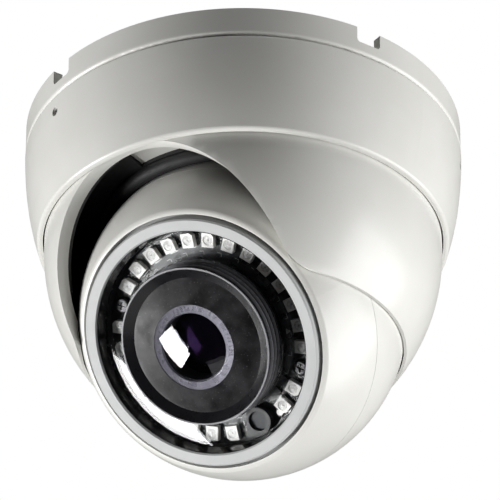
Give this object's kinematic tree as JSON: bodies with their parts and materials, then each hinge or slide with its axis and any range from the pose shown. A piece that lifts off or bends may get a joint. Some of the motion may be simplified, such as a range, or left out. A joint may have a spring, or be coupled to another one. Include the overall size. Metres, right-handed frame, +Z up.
{
  "type": "dome security camera",
  "caption": "Ceiling-mounted turret camera: round base, trim ring, slotted dome shell that pans, and a tilting ball with a ring of infrared lamps around the lens.",
  "frame": {"origin": "centre of the base's ceiling face", "axes": "+Z up into the ceiling, the camera hangs below the origin; the lens faces -Y and 44 degrees down at rest"},
  "size_m": [0.1058, 0.1058, 0.0911],
  "materials": {
    "white_paint": "satin",
    "black_plastic": "matte",
    "shroud_black": "satin",
    "gloss_black": "gloss",
    "black_rubber": "matte",
    "strap_grey": "satin",
    "steel": "satin",
    "bare_aluminium": "satin",
    "brass_posts": "satin",
    "clear_window": "gloss",
    "lens_glass": "gloss",
    "cone_grey": "matte",
    "lens_ring_grey": "satin",
    "lamp_board": "satin",
    "green_board": "satin",
    "lamp_body": "matte",
    "lamp_fill": "gloss",
    "chips": "matte",
    "sensor_face": "satin"
  },
  "bodies": {
    "base": {"mounting_base": "white_paint", "hub_gasket": "black_rubber", "cable_grommet": "black_rubber", "inner_cover": "black_plastic", "cover_screws": "steel", "pan_friction_ring": "black_rubber"},
    "trim": {"trim_ring": "white_paint"},
    "front_set_screw": {"set_screw_front": "steel"},
    "rear_set_screw": {"set_screw_rear": "steel"},
    "pan": {"dome_shell": "white_paint", "shell_liner": "black_plastic", "ball_seat_ring": "black_rubber", "clamp_strap": "strap_grey", "strap_screws": "steel", "tilt_pivots": "steel"},
    "tilt": {"ball_rear_shell": "white_paint", "roll_seal": "black_rubber", "roll_retainer": "steel", "roll_screws": "steel", "head_gland": "black_rubber"},
    "roll": {"ball_front_shell": "white_paint", "bezel_ring": "white_paint", "light_sensor_cup": "black_plastic", "lens_holder": "black_plastic", "lens_barrel": "black_plastic", "lens_shroud": "shroud_black", "window_frame": "gloss_black", "window_gasket": "black_rubber", "board_screws": "steel", "module_frame": "bare_aluminium", "heat_sink": "bare_aluminium", "posts": "brass_posts", "led_window": "clear_window", "lens_front_glass": "lens_glass", "lens_inner_glass": "lens_glass", "cut_filter": "lens_glass", "lens_cone": "cone_grey", "lens_ring": "lens_ring_grey", "led_board": "lamp_board", "sensor_board": "green_board", "main_board": "green_board", "leds": "lamp_body", "led_dies": "lamp_fill", "board_chips": "chips", "main_board_parts": "chips", "image_sensor": "chips", "light_sensor": "sensor_face"}
  },
  "joints": [
    {"name": "trim_twist", "type": "hinge", "parent": "base", "child": "trim", "pos_m": [0, 0, 0], "axis": [0, 0, 1], "range_deg": [0, 20]},
    {"name": "front_set_screw_out", "type": "slide", "parent": "trim", "child": "front_set_screw", "axis": [-0.3843, -0.9232, 0], "range_m": [0, 0.0012]},
    {"name": "rear_set_screw_out", "type": "slide", "parent": "trim", "child": "rear_set_screw", "axis": [0.866, 0.5, 0], "range_m": [0, 0.0012]},
    {"name": "pan_turn", "type": "hinge", "parent": "base", "child": "pan", "pos_m": [0, 0, -0.03], "axis": [0, 0, 1], "range_deg": [-180, 180]},
    {"name": "tilt_turn", "type": "hinge", "parent": "pan", "child": "tilt", "pos_m": [0, 0, -0.0524], "axis": [1, 0, 0], "range_deg": [-29, 46]},
    {"name": "roll_turn", "type": "hinge", "parent": "tilt", "child": "roll", "pos_m": [0, 0, -0.0524], "axis": [0, -0.7193, -0.6947], "range_deg": [-180, 180]}
  ]
}
